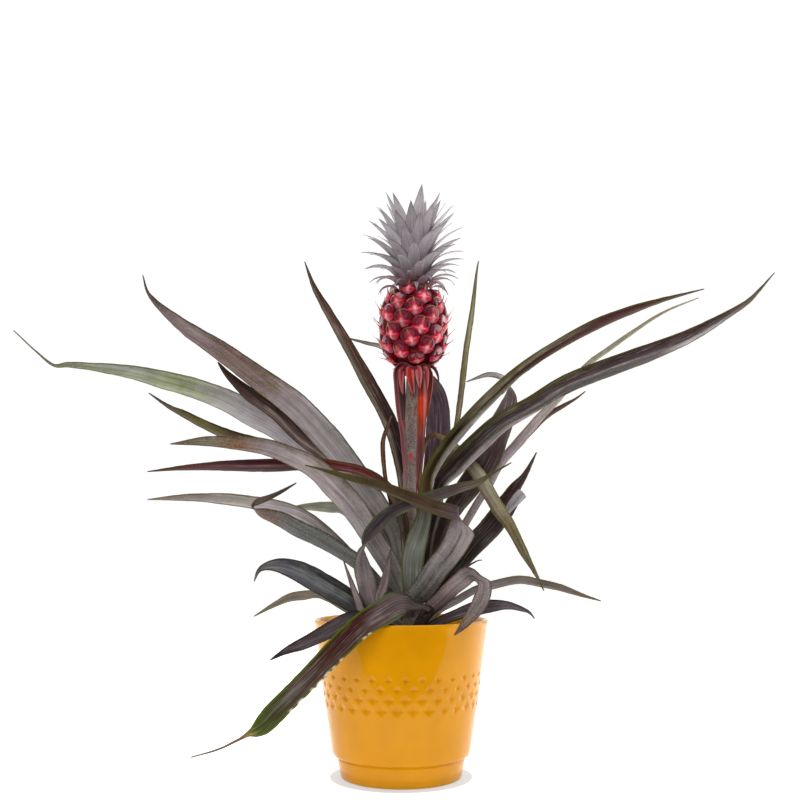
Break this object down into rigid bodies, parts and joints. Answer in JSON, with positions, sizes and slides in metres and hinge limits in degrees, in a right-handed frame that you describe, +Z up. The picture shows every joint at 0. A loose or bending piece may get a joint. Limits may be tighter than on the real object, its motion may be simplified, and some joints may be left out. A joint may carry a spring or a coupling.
{
  "type": "potted pineapple plant",
  "caption": "Ornamental pineapple plant in a round glazed pot: long arching channelled leaves around a stalk that carries one spiny red fruit topped by its crown.",
  "frame": {"origin": "centre of the underside of the pot, on the surface that it stands on", "axes": "+Z up the plant, -Y towards the side that the picture shows, +X to the viewer's right there"},
  "size_m": [0.6529, 0.2963, 0.4864],
  "materials": {
    "glaze": "gloss",
    "soil": "matte",
    "stem": "matte",
    "stalk": "matte",
    "straps": "satin",
    "fruit": "gloss",
    "crown": "matte",
    "leaf_grey": "satin",
    "leaf_dark": "satin",
    "leaf_green": "satin",
    "leaf_maroon": "satin"
  },
  "bodies": {
    "root": {"pot": "glaze", "soil": "soil", "stem": "stem", "fruit_stalk": "stalk", "stalk_bracts": "straps", "fruit": "fruit", "fruit_crown": "crown", "leaf_left_high": "leaf_grey", "leaf_left_grey": "leaf_grey", "leaf_front_folded": "leaf_grey", "leaf_left_far": "leaf_grey", "leaf_twisted": "leaf_grey", "leaf_right_curled": "leaf_grey", "leaf_left_creased": "leaf_grey", "leaf_right_thin": "leaf_grey", "leaf_right_broad": "leaf_dark", "leaf_left_dark": "leaf_dark", "leaf_right_wide": "leaf_dark", "leaf_spear": "leaf_dark", "leaf_back_dark": "leaf_dark", "leaf_back_purple": "leaf_dark", "leaf_left_low": "leaf_dark", "leaf_left_rim": "leaf_dark", "leaf_right_low_dark": "leaf_dark", "leaf_front_hanging": "leaf_dark", "leaf_right_low_long": "leaf_dark", "leaf_left_green": "leaf_green", "leaf_upright_thin": "leaf_green", "leaf_left_level": "leaf_green", "leaf_back_left": "leaf_green", "leaf_right_arching": "leaf_green", "leaf_drooping": "leaf_green", "leaf_left_low_small": "leaf_green", "leaf_left_maroon": "leaf_maroon", "leaf_right_narrow": "leaf_maroon", "leaf_stalk_side": "leaf_maroon", "leaf_shoot_near": "leaf_maroon", "leaf_shoot_left": "leaf_maroon"}
  },
  "joints": []
}
